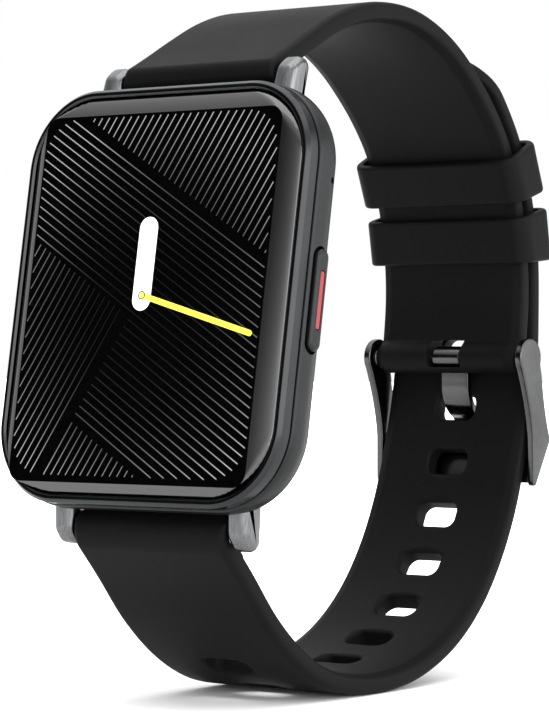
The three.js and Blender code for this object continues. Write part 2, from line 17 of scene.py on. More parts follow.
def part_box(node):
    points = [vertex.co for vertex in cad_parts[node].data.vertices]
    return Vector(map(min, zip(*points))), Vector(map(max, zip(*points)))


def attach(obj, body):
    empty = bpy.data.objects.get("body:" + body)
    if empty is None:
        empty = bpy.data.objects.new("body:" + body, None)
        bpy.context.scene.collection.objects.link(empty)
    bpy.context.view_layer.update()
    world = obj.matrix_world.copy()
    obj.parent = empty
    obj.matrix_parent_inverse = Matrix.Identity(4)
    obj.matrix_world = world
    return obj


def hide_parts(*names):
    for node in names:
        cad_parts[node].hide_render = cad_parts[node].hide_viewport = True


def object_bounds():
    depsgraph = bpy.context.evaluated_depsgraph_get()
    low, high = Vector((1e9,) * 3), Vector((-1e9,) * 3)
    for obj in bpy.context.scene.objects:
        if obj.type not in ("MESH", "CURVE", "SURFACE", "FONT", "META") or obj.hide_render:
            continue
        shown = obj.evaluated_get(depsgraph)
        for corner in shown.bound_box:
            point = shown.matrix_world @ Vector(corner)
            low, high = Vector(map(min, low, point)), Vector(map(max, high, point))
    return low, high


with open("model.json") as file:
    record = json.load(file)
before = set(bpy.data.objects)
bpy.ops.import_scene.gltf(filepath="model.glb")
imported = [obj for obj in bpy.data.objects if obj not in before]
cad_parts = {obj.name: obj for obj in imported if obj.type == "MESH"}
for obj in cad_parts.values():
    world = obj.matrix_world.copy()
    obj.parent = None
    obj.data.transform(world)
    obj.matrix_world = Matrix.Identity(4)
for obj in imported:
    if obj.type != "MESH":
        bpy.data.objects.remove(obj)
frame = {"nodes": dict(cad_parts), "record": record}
cad_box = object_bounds()

MM = 0.001
TAU = 2 * math.pi
scene = bpy.context.scene


# ---------------------------------------------------------------- places taken from the frame

def head_matrix():
    """Axes x, v, n of the head, with the origin on the display face."""
    face = next(m for m in frame["record"]["mounts"] if m["name"] == "display_face")
    out = Vector(face["axis"]).normalized()
    side = Vector((1, 0, 0))
    up = out.cross(side)
    axes = Matrix((side, up, out)).transposed().to_4x4()
    return Matrix.Translation(Vector(face["pos_m"])) @ axes


HEAD = head_matrix()
HOME = Matrix.Identity(4)


def middle_of(node):
    low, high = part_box(node)
    return (low + high) / 2 / MM


BAR_TOP = middle_of("spring_bar_top")
BAR_BOTTOM = middle_of("spring_bar_bottom")
PIVOT = middle_of("buckle_pin")

# ---------------------------------------------------------------- driving dimensions

GLASS_W = 35.05
GLASS_H = 41.7
GLASS_R = 7.3
BEZEL_RIM = 1.05
CASE_RIM = 1.3
CASE_FRONT = -2.1
CASE_BACK = -6.7
BACK_FACE = -8.0
DOME_TOP = -9.1
WINDOW_R = 9.6

BAND_HALF = 10.0
BACK_TAPER = 0.97
STRAP_T = 2.25
TAIL_T = 2.35
TAIL_TIP_T = 1.8
STACK_PITCH = 2.35
ARC_Y = -11.1
ARC_Z = 6.5
ARC_R = 34.9
HOLE_PITCH = 6.65
HOLE_COUNT = 14
ENGAGED_HOLE = 9
ENGAGED_AT = 78.7
HOLE_W = 5.4
HOLE_L = 3.0
TIP_LENGTH = 8.0

KEEPER_ANGLES = {"keeper_upper": 21.8, "keeper_lower": 9.8}
KEEPER_HALF_ANGLE = math.radians(4.5)
KEEPER_WALL = 1.0
KEEPER_GAP = 0.22

ARM_IN = 10.15
ARM_OUT = 11.05
TONGUE_W = 3.7

BUTTON_V = -0.3
BUTTON_L = 10.4
BUTTON_W = 1.8
BUTTON_N = -3.7

# ---------------------------------------------------------------- mesh making


def build(name, verts, faces, material, matrix=HOME, sharp=32):
    """A closed smooth-shaded mesh, whose edges sharper than `sharp` degrees stay crisp."""
    mesh = bpy.data.meshes.new(name)
    mesh.from_pydata([Vector(v) * MM for v in verts], [], faces)
    work = bmesh.new()
    work.from_mesh(mesh)
    bmesh.ops.remove_doubles(work, verts=work.verts, dist=1e-7)
    bmesh.ops.dissolve_degenerate(work, edges=work.edges, dist=1e-8)
    if work.calc_volume(signed=True) < 0:
        bmesh.ops.reverse_faces(work, faces=work.faces)
    work.to_mesh(mesh)
    work.free()
    obj = bpy.data.objects.new(name, mesh)
    obj.matrix_world = matrix
    scene.collection.objects.link(obj)
    if material:
        mesh.materials.append(material)
    soften(mesh, sharp)
    return obj


def soften(mesh, sharp):
    mesh.shade_smooth()
    mesh.set_sharp_from_angle(angle=math.radians(sharp))


def loft(rings, loop=False):
    """Skin over rings of equally many points. A loop joins the last ring to the first."""
    count = len(rings[0])
    verts = [point for ring in rings for point in ring]
    faces = []
    for i in range(len(rings) if loop else len(rings) - 1):
        j = (i + 1) % len(rings)
        for k in range(count):
            m = (k + 1) % count
            faces.append((i * count + k, i * count + m, j * count + m, j * count + k))
    if not loop:
        faces.append(tuple(reversed(range(count))))
        faces.append(tuple((len(rings) - 1) * count + k for k in range(count)))
    return outward(verts, faces)


def outward(verts, faces):
    """Turns the faces of a closed solid so that they all look out of it."""
    volume = 0.0
    for face in faces:
        first = Vector(verts[face[0]])
        for a, b in zip(face[1:], face[2:]):
            volume += first.dot(Vector(verts[a]).cross(Vector(verts[b])))
    if volume < 0:
        faces = [tuple(reversed(face)) for face in faces]
    return verts, faces


def merge(*parts):
    verts = []
    faces = []
    for more_verts, more_faces in parts:
        start = len(verts)
        verts.extend(more_verts)
        faces.extend(tuple(start + i for i in face) for face in more_faces)
    return verts, faces


def carve(obj, shapes, sharp):
    """Cuts the shapes, drawn like obj in its own frame, out of obj for good."""
    cutters = [build("cutter", *shape, None, obj.matrix_world) for shape in shapes]
    for cutter in cutters:
        modifier = obj.modifiers.new("cut", "BOOLEAN")
        modifier.object = cutter
        modifier.operation = "DIFFERENCE"
        modifier.solver = "EXACT"
    bpy.context.view_layer.update()
    graph = bpy.context.evaluated_depsgraph_get()
    mesh = bpy.data.meshes.new_from_object(obj.evaluated_get(graph))
    obj.modifiers.clear()
    old = obj.data
    obj.data = mesh
    material = old.materials[0]
    bpy.data.meshes.remove(old)
    mesh.materials.clear()
    mesh.materials.append(material)
    for cutter in cutters:
        bpy.data.objects.remove(cutter)
    soften(mesh, sharp)


# ---------------------------------------------------------------- outlines

def towards(point, angle, distance):
    return point[0] + distance * math.cos(angle), point[1] + distance * math.sin(angle)


def fillet(points, radius, steps):
    """Closed outline with every corner rounded. A radius may be given per corner."""
    rounded = []
    total = len(points)
    radii = radius if isinstance(radius, (list, tuple)) else [radius] * total
    for i, corner in enumerate(points):
        here = Vector(corner)
        before = Vector(points[i - 1]) - here
        after = Vector(points[(i + 1) % total]) - here
        opening = before.angle(after)
        reach = radii[i] / math.tan(opening / 2) if radii[i] else 0
        reach = min(reach, before.length * 0.49, after.length * 0.49)
        if reach < 1e-4 or opening > math.radians(178):
            rounded.append(tuple(here))
            continue
        start = here + before.normalized() * reach
        end = here + after.normalized() * reach
        for step in range(steps + 1):
            t = step / steps
            rounded.append(tuple((1 - t) ** 2 * start + 2 * t * (1 - t) * here + t * t * end))
    return rounded


def normals_of(outline):
    """Mitred outward normals of a closed anticlockwise or clockwise outline."""
    total = len(outline)
    area = 0.0
    for i in range(total):
        a = outline[i]
        b = outline[(i + 1) % total]
        area += a[0] * b[1] - b[0] * a[1]
    turn = 1 if area > 0 else -1
    normals = []
    for i in range(total):
        here = Vector(outline[i])
        back = (here - Vector(outline[i - 1])).normalized()
        ahead = (Vector(outline[(i + 1) % total]) - here).normalized()
        first = Vector((back.y, -back.x)) * turn
        second = Vector((ahead.y, -ahead.x)) * turn
        mitre = (first + second).normalized()
        normals.append(mitre / max(0.35, mitre.dot(second)))
    return normals


def inset(outline, normals, distance):
    return [(p[0] - n.x * distance, p[1] - n.y * distance) for p, n in zip(outline, normals)]


def edge_steps(edge, steps):
    """Pairs (along, inset) that round an edge of that radius, from its end face inwards."""
    pairs = []
    for step in range(steps + 1):
        angle = step / steps * math.pi / 2
        pairs.append((edge * (1 - math.cos(angle)), edge * (1 - math.sin(angle))))
    return pairs


def slab(outline, low, high, edge, steps=4):
    """An outline in (a, b), stretched along x from low to high with rounded rims."""
    normals = normals_of(outline)
    stations = [(low + along, cut) for along, cut in edge_steps(edge, steps)]
    stations += [(high - along, cut) for along, cut in reversed(edge_steps(edge, steps))]
    rings = [[(x, a, b) for a, b in inset(outline, normals, cut)] for x, cut in stations]
    return loft(rings)


def turned(points, sides, centre=(0.0, 0.0)):
    """A solid of revolution about x from (x, radius) points, its axis through centre in (y, z)."""
    return loft([[(x, *towards(centre, k / sides * TAU, radius)) for k in range(sides)]
                 for x, radius in points])


def standing(points, sides, centre=(0.0, 0.0)):
    """A solid of revolution about n from (n, radius) points, its axis through centre in (x, v)."""
    verts, faces = turned(points, sides)
    return [(centre[0] + y, centre[1] + z, x) for x, y, z in verts], faces


def pill(length, width, steps=14):
    radius = width / 2
    reach = length / 2 - radius
    outline = []
    for side in (1, -1):
        for step in range(steps + 1):
            angle = (step / steps - 0.5) * math.pi + (0 if side > 0 else math.pi)
            outline.append(towards((side * reach, 0.0), angle, radius))
    return outline


def rounded_rect(width, height, radius, steps, centre=(0.0, 0.0)):
    outline = []
    for quarter, (sx, sy) in enumerate(((1, 1), (-1, 1), (-1, -1), (1, -1))):
        for step in range(steps + 1):
            angle = (quarter + step / steps) * math.pi / 2
            x, y = towards((sx * (width / 2 - radius), sy * (height / 2 - radius)), angle, radius)
            outline.append((centre[0] + x, centre[1] + y))
    return outline


CORNER_STEPS = 20


def glass_outline(offset):
    return rounded_rect(GLASS_W + 2 * offset, GLASS_H + 2 * offset, GLASS_R + offset, CORNER_STEPS)


def ring_of(offset, n):
    return [(x, v, n) for x, v in glass_outline(offset)]


def swept(profile, loop=True):
    """A profile of (offset from the glass edge, n) carried round the glass outline."""
    return loft([ring_of(offset, n) for offset, n in profile], loop=loop)


# ---------------------------------------------------------------- paths of the band


SAMPLES_PER_SPAN = 40


class Path:
    """The same smooth curve through points in (y, z) as the band's solids follow, by arc length."""

    def __init__(self, points, outward):
        self.points = [Vector(p) for p in points]
        self.outward = outward
        self.samples = []
        self.lengths = [0.0]
        for i in range((len(points) - 1) * SAMPLES_PER_SPAN + 1):
            self.samples.append(self.curve(i / SAMPLES_PER_SPAN))
        for a, b in zip(self.samples, self.samples[1:]):
            self.lengths.append(self.lengths[-1] + (b - a).length)
        self.length = self.lengths[-1]

    def curve(self, at):
        last = len(self.points) - 1
        i = min(int(at), last - 1)
        t = at - i
        p0 = self.points[max(i - 1, 0)]
        p1 = self.points[i]
        p2 = self.points[i + 1]
        p3 = self.points[min(i + 2, last)]
        v0 = (p2 - p0) / 2
        v1 = (p3 - p1) / 2
        cubic = (2 * p1 - 2 * p2 + v0 + v1) * t ** 3
        square = (-3 * p1 + 3 * p2 - 2 * v0 - v1) * t ** 2
        return cubic + square + v0 * t + p1

    def at(self, s):
        """Point and direction at arc length s. The curve runs on straight past its ends."""
        inside = min(max(s, 0.0), self.length)
        i = min(max(bisect.bisect_right(self.lengths, inside) - 1, 0), len(self.samples) - 2)
        a = self.samples[i]
        b = self.samples[i + 1]
        share = (inside - self.lengths[i]) / max(self.lengths[i + 1] - self.lengths[i], 1e-9)
        before = self.samples[max(i - 1, 0)]
        after = self.samples[min(i + 2, len(self.samples) - 1)]
        along = ((b - before) * (1 - share) + (after - a) * share).normalized()
        return a + (b - a) * share + along * (s - inside), along

    def axes(self, s):
        """Point, direction and outward normal at arc length s."""
        point, along = self.at(s)
        return point, along, along.orthogonal() * self.outward

    def place(self, s, height):
        point, _, normal = self.axes(s)
        return point + normal * height


def arc_point(degrees, radius):
    return towards((ARC_Y, ARC_Z), math.radians(degrees), radius)


STRAP_PATH = Path([
    (-24.6, 28.3), (-21.0, 30.1), (-17.0, 32.2), (-12.8, 34.2), (-8.3, 35.6), (-3.7, 36.15),
    (1.1, 35.9), (5.8, 34.6), (10.1, 32.4), (13.85, 29.5), (17.2, 26.2),
    *[arc_point(degrees, ARC_R) for degrees in (27.5, 20, 12.5, 5, -2, -9)],
    (PIVOT.y + 0.2, PIVOT.z),
], 1)

TIP_SHARES = (0.615, 0.56, 0.505)
TAIL_PATH = Path([
    (-32.2, -19.8), (-28.7, -23.6), (-24.4, -28.5), (-19.49, -32.5), (-14.21, -35.1),
    (-8.34, -36.2), (-2.47, -36.2), (3.39, -35.1), (9.26, -32.6), (14.34, -28.7), (18.35, -23.7),
    (21.28, -18.2), (23.35, -12.3), (24.85, -6.8), (25.8, -1.6),
    *[arc_point(degrees, ARC_R + STACK_PITCH) for degrees in (-4, 5, 12.5, 20, 27)],
    *[tuple(STRAP_PATH.place(share * STRAP_PATH.length, STACK_PITCH)) for share in TIP_SHARES],
], -1)


def band_scale(y):
    """The band narrows evenly from the lugs to the buckle."""
    share = min(max((y - BAR_TOP.y) / (PIVOT.y - BAR_TOP.y), 0.0), 1.0)
    return 1 + (BACK_TAPER - 1) * share


def smooth_max(a, b, soft):
    gap = max(soft - abs(a - b), 0.0) / soft
    return max(a, b) + gap * gap * soft / 4


def dome(distance, radius):
    return math.sqrt(max(radius * radius - distance * distance, 0.0))


# ---------------------------------------------------------------- materials


def node(tree, kind, inputs, **settings):
    """A shader node whose inputs are values, or other nodes' outputs."""
    made = tree.nodes.new(f"ShaderNode{kind}")
    for name, value in settings.items():
        setattr(made, name, value)
    feed(tree, made, inputs)
    return made


def feed(tree, made, inputs):
    for name, value in inputs.items():
        if isinstance(value, bpy.types.NodeSocket):
            tree.links.new(value, made.inputs[name])
        else:
            made.inputs[name].default_value = value


def ramp_between(tree, value, stops):
    """A colour ramp over the value, from two (position, colour) stops."""
    ramp = node(tree, "ValToRGB", {"Fac": value})
    for element, (position, color) in zip(ramp.color_ramp.elements, stops):
        element.position = position
        element.color = (*color, 1)
    return ramp.outputs["Color"]


def new_surface(name):
    material = bpy.data.materials.new(name)
    material.use_nodes = True
    tree = material.node_tree
    return material, tree, tree.nodes["Principled BSDF"]


RELIEF_DEPTH = 0.00004


def surface(name, dark, light, rough, fine, grain=(1.0, 1.0, 1.0), broad=160, bump=0.05, metallic=0.0,
            specular=0.5, ior=1.5, patches=0.5):
    """Principled surface with colour and gloss that vary, and a fine grain stretched by `grain`."""
    material, tree, shader = new_surface(name)
    where = node(tree, "TexCoord", {}).outputs["Object"]
    stretched = node(tree, "Mapping", {"Vector": where, "Scale": grain}).outputs["Vector"]
    grains = node(tree, "TexNoise", {"Vector": stretched, "Scale": fine, "Detail": 4}).outputs["Fac"]
    clouds = node(tree, "TexNoise", {"Vector": where, "Scale": broad, "Detail": 3}).outputs["Fac"]
    blend = node(tree, "Mix", {0: patches, 2: grains, 3: clouds}, data_type="FLOAT").outputs[0]
    gloss = node(tree, "MapRange", {"Value": blend, "From Min": 0.3, "From Max": 0.7,
                                    "To Min": rough[0], "To Max": rough[1]})
    relief = node(tree, "Bump", {"Strength": bump, "Distance": RELIEF_DEPTH, "Height": grains})
    feed(tree, shader, {
        "Base Color": ramp_between(tree, blend, ((0.3, dark), (0.7, light))),
        "Roughness": gloss.outputs["Result"],
        "Normal": relief.outputs["Normal"],
        "Metallic": metallic,
        "Specular IOR Level": specular,
        "IOR": ior,
    })
    return material


def grey(value, warm=0.0):
    return value * (1 + warm), value, value * (1 - warm)


CASE_METAL = surface("case_metal_look", grey(0.021, -0.03), grey(0.029, -0.03), (0.32, 0.42),
                     fine=14000, bump=0.12, metallic=0.95)
BEZEL_METAL = surface("bezel_metal_look", grey(0.03, -0.03), grey(0.04, -0.03), (0.2, 0.28),
                      fine=14000, bump=0.05, metallic=1.0)
LUG_METAL = surface("lug_metal_look", grey(0.09, -0.02), grey(0.17, -0.02), (0.18, 0.26),
                    grain=(1, 0.04, 1), fine=6000, bump=0.05, metallic=1.0, patches=0.25)
BUCKLE_METAL = surface("buckle_metal_look", grey(0.06, -0.01), grey(0.085, -0.01), (0.16, 0.26),
                       grain=(1, 0.2, 0.2), fine=6000, bump=0.04, metallic=1.0)
STEEL = surface("steel_look", grey(0.42), grey(0.55), (0.2, 0.34), grain=(0.1, 1, 1), fine=7000,
                bump=0.08, metallic=1.0, patches=0.3)
SCREW_STEEL = surface("screw_steel_look", grey(0.25), grey(0.4), (0.25, 0.4), fine=9000,
                      bump=0.1, metallic=1.0)
GOLD = surface("gold_look", (0.55, 0.34, 0.1), (0.72, 0.48, 0.17), (0.2, 0.34), fine=9000,
               bump=0.06, metallic=1.0)
GLASS = surface("glass_look", grey(0.0006), grey(0.0012), (0.035, 0.06), fine=1500, broad=60,
                bump=0.002, ior=1.8)
LENS = surface("lens_look", grey(0.0025), grey(0.006), (0.05, 0.1), fine=2500, broad=220,
               bump=0.004, ior=1.52)
SILICONE = surface("silicone_look", grey(0.0038), grey(0.0055), (0.46, 0.6), fine=11000, broad=90,
                   bump=0.16, specular=0.05, patches=0.45)
PLASTIC = surface("plastic_look", grey(0.012), grey(0.018), (0.32, 0.44), fine=12000, bump=0.12)
RUBBER = surface("rubber_look", grey(0.02), grey(0.035), (0.6, 0.75), fine=9000, bump=0.2)
RED = surface("red_look", (0.19, 0.008, 0.013), (0.26, 0.013, 0.02), (0.4, 0.5), fine=9000,
              bump=0.1)
BOARD = surface("board_look", (0.008, 0.05, 0.025), (0.014, 0.09, 0.045), (0.35, 0.55),
                fine=5000, bump=0.2)
FOIL = surface("foil_look", grey(0.28), grey(0.36), (0.3, 0.5), fine=3000, bump=0.3,
               metallic=0.6)
MAGNET = surface("magnet_look", grey(0.28), grey(0.36), (0.25, 0.4), fine=7000, bump=0.1,
                 metallic=1.0)
LED = surface("led_look", (0.03, 0.3, 0.07), (0.06, 0.45, 0.12), (0.2, 0.35), fine=6000)


GLOW_DIP = 0.9


def glowing(name, color, strength, base=0.45):
    """Bright parts of the display: they glow a little and mottle slightly."""
    dim = tuple(c * GLOW_DIP for c in color)
    material = surface(name, tuple(c * base for c in dim), tuple(c * base for c in color), (0.3, 0.4),
                       fine=4000, bump=0.0)
    tree = material.node_tree
    dots = node(tree, "TexNoise", {"Scale": 8000}).outputs["Fac"]
    feed(tree, tree.nodes["Principled BSDF"], {
        "Emission Color": ramp_between(tree, dots, ((0.0, dim), (1.0, color))),
        "Emission Strength": strength,
    })
    return material


FADE_CENTRE = (-0.0006, -0.002, 0)
FADE_RADIUS = 0.0205
FADE_POWER = 4.2
FADE_GLOW = 0.5
FADE_REST = 0.006


def fading_lines():
    """Grey lines that fade away towards the middle of the face."""
    material = glowing("dial_line_look", (1.0, 1.0, 1.0), 1.0, base=0.002)
    tree = material.node_tree
    where = node(tree, "TexCoord", {}).outputs["Object"]
    distance = node(tree, "VectorMath", {0: where, 1: FADE_CENTRE}, operation="DISTANCE")
    share = node(tree, "Math", {0: distance.outputs["Value"], 1: FADE_RADIUS}, operation="DIVIDE")
    steep = node(tree, "Math", {0: share.outputs["Value"], 1: FADE_POWER}, operation="POWER")
    glow = node(tree, "MapRange", {"Value": steep.outputs["Value"],
                                   "To Min": FADE_REST, "To Max": FADE_GLOW})
    feed(tree, tree.nodes["Principled BSDF"], {
        "Emission Strength": glow.outputs["Result"],
        "Specular IOR Level": 0.02,
    })
    return material


def dress(nodes, material):
    """Gives carried-over CAD nodes their material."""
    for name in nodes:
        carried = frame["nodes"][name]
        carried.data.materials.clear()
        carried.data.materials.append(material)


def settle(obj, body, slot, *nodes):
    """Puts a finished piece on its body, in place of the CAD nodes named. The slot is not used."""
    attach(obj, body)
    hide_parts(*nodes)


# ---------------------------------------------------------------- cover glass and the picture on it

FLAT_W = 31.3
FLAT_H = 38.8
FLAT_CENTRE = (-0.58, -0.4)
GLASS_T = 1.0
RIM_DROP = 0.62
RIM_KINK = 0.6  # share of the drop that comes as an even slope, which makes the flat's edge crisp


def cover_glass():
    """Flat in the middle, with a rim that curves down to the bezel all round."""
    outer = glass_outline(0)
    inner = rounded_rect(FLAT_W, FLAT_H, 1.6, CORNER_STEPS, FLAT_CENTRE)
    rings = [[(x, v, -GLASS_T) for x, v in glass_outline(-0.25)]]
    rings.append([(x, v, -GLASS_T + 0.15) for x, v in outer])
    steps = 14
    for step in range(steps + 1):
        angle = step / steps * math.pi / 2
        across = 1 - math.cos(angle)
        drop = RIM_DROP * ((1 - RIM_KINK) * (1 - math.sin(angle)) + RIM_KINK * (1 - across))
        rings.append([
            (a[0] + (b[0] - a[0]) * across, a[1] + (b[1] - a[1]) * across, -drop)
            for a, b in zip(outer, inner)
        ])
    verts, faces = loft(rings)
    glass = build("cover_glass_fine", verts, faces, GLASS, HEAD, sharp=4)
    settle(glass, "case", "cover_glass", "cover_glass")


LINE_W = 0.11
STEEP_PITCH = 0.862
SHALLOW_PITCH = 0.872
LINE_BASE = 0.012  # height of the picture over the glass
LINE_TOP = 0.022
AREA_LEFT = -16.0
AREA_RIGHT = 14.75
AREA_LOW = -19.05
AREA_HIGH = 18.7
AREA_R = 4.0
STEEP = math.radians(60.4)
SHALLOW = math.radians(-30.6)


def clip(segment, outline):
    """The part of a segment inside a convex anticlockwise outline, or None."""
    a, b = Vector(segment[0]), Vector(segment[1])
    low, high = 0.0, 1.0
    for i, p in enumerate(outline):
        p = Vector(p)
        q = Vector(outline[(i + 1) % len(outline)])
        inward = (q - p).orthogonal()
        start = inward.dot(a - p)
        run = inward.dot(b - a)
        if abs(run) < 1e-12:
            if start < 0:
                return None
            continue
        hit = -start / run
        if run > 0:
            low = max(low, hit)
        else:
            high = min(high, hit)
    if high - low < 1e-3:
        return None
    return a + (b - a) * low, a + (b - a) * high


STEEP_START = 0.42
SHALLOW_START = 0.86


def family(angle, first, last, zone, area):
    """Evenly spaced parallel lines at an angle, inside two convex outlines."""
    start, pitch = (STEEP_START, STEEP_PITCH) if angle > 0 else (SHALLOW_START, SHALLOW_PITCH)
    along = Vector((math.cos(angle), math.sin(angle)))
    across = along.orthogonal()
    found = []
    for k in range(first, last + 1):
        middle = across * (start + k * pitch)
        segment = clip((middle - along * 60, middle + along * 60), zone)
        segment = segment and clip(segment, area)
        if segment:
            found.append(segment)
    return found


def strip(a, b, width):
    """A thin raised bar between two points of the face."""
    along = (b - a).normalized()
    half = along.orthogonal() * width / 2
    ring = [a + half, a - half, b - half, b + half]
    return loft([[(p.x, p.y, n) for p in ring] for n in (LINE_BASE, LINE_TOP)])


def dial_lines():
    area = rounded_rect(AREA_RIGHT - AREA_LEFT, AREA_HIGH - AREA_LOW, AREA_R, 8,
                        ((AREA_LEFT + AREA_RIGHT) / 2, (AREA_LOW + AREA_HIGH) / 2))
    far = 70
    # Upper right: steep lines over a boundary parallel to the shallow ones.
    high = (-10.2, 18.55)
    above = [towards(high, SHALLOW + math.pi, far), towards(high, SHALLOW, far),
             towards(towards(high, SHALLOW, far), STEEP, far),
             towards(towards(high, SHALLOW + math.pi, far), STEEP, far)]
    segments = family(STEEP, -20, 25, above, area)
    # Middle band of shallow lines, from that boundary down to the line through the middle.
    low = (-16.0, 5.55)
    band_top = (high[0], high[1] - 0.7)
    band = [towards(low, SHALLOW + math.pi, far), towards(low, SHALLOW, far),
            towards(band_top, SHALLOW, far), towards(band_top, SHALLOW + math.pi, far)]
    segments += family(SHALLOW, -30, 20, band, area)
    # Lower left: steep lines, bounded on their right by the last of them.
    turn = (-2.75, -2.1)
    aside = towards(turn, SHALLOW + math.pi, far)
    below_left = [aside, towards(aside, STEEP + math.pi, far), towards(turn, STEEP + math.pi, far), turn]
    segments += family(STEEP, 2, 25, below_left, area)
    # Lower right: shallow lines that start beside the last steep one.
    start = towards(turn, SHALLOW, 0.75)
    foot = towards(start, STEEP + math.pi, 11.9)
    below_right = [foot, towards(foot, SHALLOW, far), towards(towards(start, SHALLOW, far), STEEP, 0.2),
                   towards(start, STEEP, 0.2)]
    segments += family(SHALLOW, -30, 20, below_right, area)
    # Bottom: short steep lines under the lowest shallow one.
    under = towards(foot, STEEP + math.pi, 0.75)
    aside = towards(under, SHALLOW, far)
    bottom = [towards(under, STEEP + math.pi, far), towards(aside, STEEP + math.pi, far), aside, under]
    segments += family(STEEP, -20, 1, bottom, area)
    verts, faces = merge(*[strip(a, b, LINE_W) for a, b in segments])
    lines = build("dial_lines", verts, faces, fading_lines(), HEAD)
    settle(lines, "case", "cover_glass")


HAND_PIVOT = Vector((-0.7, -0.27))


def flat_piece(name, outline, low, high, material):
    rings = [[(x, v, n) for x, v in outline] for n in (low, high)]
    piece = build(name, *loft(rings), material, HEAD)
    settle(piece, "case", "cover_glass")


def hands():
    white = glowing("hour_hand_look", (1.0, 1.0, 1.0), 1.25)
    yellow = glowing("minute_hand_look", (0.95, 0.9, 0.07), 1.15)
    hour = [(HAND_PIVOT.x + y, 3.03 + x) for x, y in pill(9.8, 2.38)]
    flat_piece("hour_hand", hour, 0.026, 0.036, white)
    reach = Vector((13.75, -4.25)) - HAND_PIVOT
    turn = math.atan2(reach.y, reach.x)
    minute = []
    for x, y in pill(reach.length + 0.6, 0.6):
        along = x + reach.length / 2
        minute.append((HAND_PIVOT.x + along * math.cos(turn) - y * math.sin(turn),
                       HAND_PIVOT.y + along * math.sin(turn) + y * math.cos(turn)))
    flat_piece("minute_hand", minute, 0.04, 0.05, yellow)
    sides = 40
    rings = [[(*towards(HAND_PIVOT, k / sides * TAU, radius), n) for k in range(sides)]
             for radius, n in ((0.46, 0.054), (0.46, 0.064), (0.33, 0.064), (0.33, 0.054))]
    hub = build("hand_hub", *loft(rings, loop=True), PLASTIC, HEAD)
    settle(hub, "case", "cover_glass")


# ---------------------------------------------------------------- bezel and case


def front_bezel():
    inner = 0.15
    low = CASE_FRONT + 0.1
    top = -0.25
    outline = [(inner, low), (BEZEL_RIM - 0.1, low), (BEZEL_RIM, low + 0.12), (BEZEL_RIM, top - 0.42),
               (BEZEL_RIM - 0.34, top), (inner + 0.2, top), (inner, top - 0.22)]
    profile = fillet(outline, [0, 0.05, 0.05, 0.12, 0.12, 0.06, 0.06], 4)
    bezel = build("front_bezel_fine", *swept(profile), BEZEL_METAL, HEAD, sharp=40)
    settle(bezel, "case", "bezel_metal", "front_bezel")


BULGE_FLAT = 0.4
BULGE_DEPTH = 3.3
BULGE_INSET = 2.8
LEDGE_TOP = -5.8


def bulge(n):
    """Offset of the case's outside from the glass edge at height n."""
    above = max(n - (CASE_BACK + BULGE_DEPTH + BULGE_FLAT), CASE_BACK + BULGE_DEPTH - n, 0.0)
    return CASE_RIM - BULGE_INSET * (1 - math.sqrt(max(1 - (above / BULGE_DEPTH) ** 2, 0.0)))


def case_frame():
    inside = -1.2
    ledge = -3.0
    profile = [(inside, CASE_FRONT), (bulge(CASE_FRONT) - 0.12, CASE_FRONT),
               (bulge(CASE_FRONT) - 0.03, CASE_FRONT - 0.04)]
    steps = 26
    start = CASE_FRONT - 0.12
    for step in range(steps + 1):
        share = step / steps
        n = start + (CASE_BACK - start) * (1 - (1 - share) ** 1.6)
        profile.append((bulge(n), n))
    profile += [(ledge, CASE_BACK), (ledge, LEDGE_TOP), (inside, LEDGE_TOP)]
    case = build("case_frame_fine", *swept(profile), CASE_METAL, HEAD, sharp=40)
    recess = [(BUTTON_V + a, BUTTON_N + b) for a, b in pill(BUTTON_L + 0.6, BUTTON_W + 0.6, 20)]
    stem = turned([(14, 0.9), (19, 0.9)], 32, (BUTTON_V, BUTTON_N))
    microphone = turned([(14, 0.35), (20, 0.35)], 24, (12.1, -4.6))
    carve(case, [slab(recess, 17.7, 21, 0.05), stem, microphone], sharp=40)
    settle(case, "case", "case_metal", "case_frame")


LUG_PROFILE = [(18.5, -3.0), (24.35, -3.95), (25.5, -5.1), (25.6, -6.35), (24.75, -7.0), (18.5, -6.4)]
LUG_INNER_X = 10.2
LUG_OUTER_X = 12.8


def lugs():
    outline = fillet(LUG_PROFILE, [0.05, 1.6, 1.3, 1.0, 1.0, 0.05], 7)
    verts, faces = slab(outline, LUG_INNER_X, LUG_OUTER_X, 0.9, 9)
    for corner, side, end in (("top_left", -1, 1), ("top_right", 1, 1), ("bottom_left", -1, -1),
                              ("bottom_right", 1, -1)):
        placed = [(side * x, end * v, n) for x, v, n in verts]
        lug = build(f"lug_{corner}_fine", placed, faces, LUG_METAL, HEAD, sharp=50)
        settle(lug, "case", "lug_metal", f"lug_{corner}")


def peg(radius, low, high, x, v, sides=40):
    return standing([(low, radius), (high, radius)], sides, (x, v))


CONTACTS = [(-3.2, -14.2), (3.2, -14.2)]
SCREWS = {"top_left": (-12.6, 15.8), "top_right": (12.6, 15.8), "bottom_left": (-12.6, -15.8),
          "bottom_right": (12.6, -15.8)}


